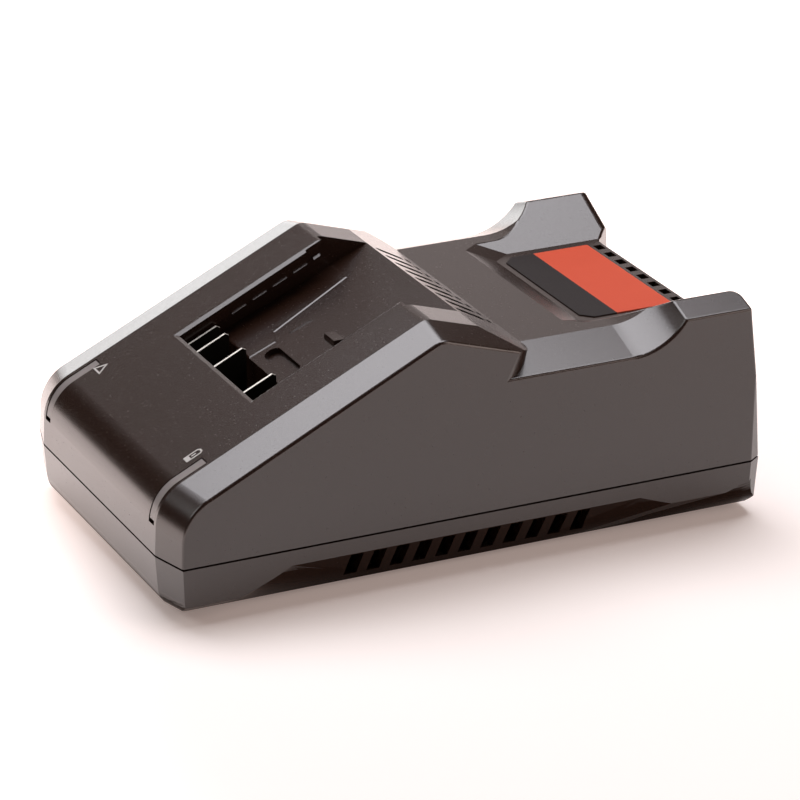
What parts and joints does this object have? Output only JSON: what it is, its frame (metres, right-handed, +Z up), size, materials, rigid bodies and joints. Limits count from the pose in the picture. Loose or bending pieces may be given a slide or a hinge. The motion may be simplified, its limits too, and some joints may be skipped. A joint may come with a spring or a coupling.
{
  "type": "power tool battery charger",
  "caption": "Wedge-shaped bench charger with a slide-in battery channel and contact blades, curved light pipes, vented shells and a recess for the cord inlet.",
  "frame": {"origin": "middle of the footprint, at the table under the feet", "axes": "+Z up, +Y from the nose to the rear wall, +X to the right seen from the nose"},
  "size_m": [0.114, 0.19, 0.0762],
  "materials": {
    "shell_anthracite": "fine spark-eroded grain, anthracite brown",
    "light_pipe_smoke": "smoked translucent moulding",
    "label_red_dark": "printed film, red field and dark field, no lettering",
    "foot_rubber": "matt",
    "screw_zinc": "zinc plated",
    "board_laminate": "paper laminate with solder resist",
    "insulating_card": "pressed card",
    "tower_black": "moulded, matt",
    "contact_nickel": "nickel plated",
    "bushing_rubber": "matt",
    "ferrite": "sintered, matt",
    "winding_tape": "polyester tape",
    "can_sleeve": "shrink sleeve",
    "chip_epoxy": "moulded epoxy",
    "film_box": "moulded box",
    "terminal_green": "moulded",
    "disc_blue": "dipped coating",
    "sink_aluminium": "mill finish",
    "lamp_clear": "diffused",
    "winding_copper": "enamelled wire"
  },
  "bodies": {
    "root": {"upper_housing": "shell_anthracite", "lower_housing": "shell_anthracite", "light_pipe_left": "light_pipe_smoke", "light_pipe_right": "light_pipe_smoke", "label_film": "label_red_dark", "rubber_feet": "foot_rubber", "housing_screws": "screw_zinc", "board_screws": "screw_zinc", "clamp_screws": "screw_zinc", "circuit_board": "board_laminate", "insulating_sheet": "insulating_card", "contact_tower": "tower_black", "contact_negative": "contact_nickel", "contact_sense_code": "contact_nickel", "contact_sense_heat": "contact_nickel", "contact_positive": "contact_nickel", "cord_bushing": "bushing_rubber", "cord_clamp": "tower_black", "transformer_core": "ferrite", "transformer_bobbin": "tower_black", "transformer_winding": "winding_tape", "bulk_capacitor": "can_sleeve", "output_capacitors": "can_sleeve", "output_inductor": "ferrite", "charge_controller": "chip_epoxy", "supply_controller": "chip_epoxy", "sense_resistor": "chip_epoxy", "film_capacitor": "film_box", "bridge_rectifier": "chip_epoxy", "input_fuse": "chip_epoxy", "terminal_block": "terminal_green", "varistor": "disc_blue", "bridging_capacitor": "disc_blue", "primary_heat_sink": "sink_aluminium", "secondary_heat_sink": "sink_aluminium", "power_transistor": "chip_epoxy", "rectifier_diode": "chip_epoxy", "signal_couplers": "chip_epoxy", "status_lamps": "lamp_clear", "choke_core": "ferrite", "choke_windings": "winding_copper"}
  },
  "joints": []
}
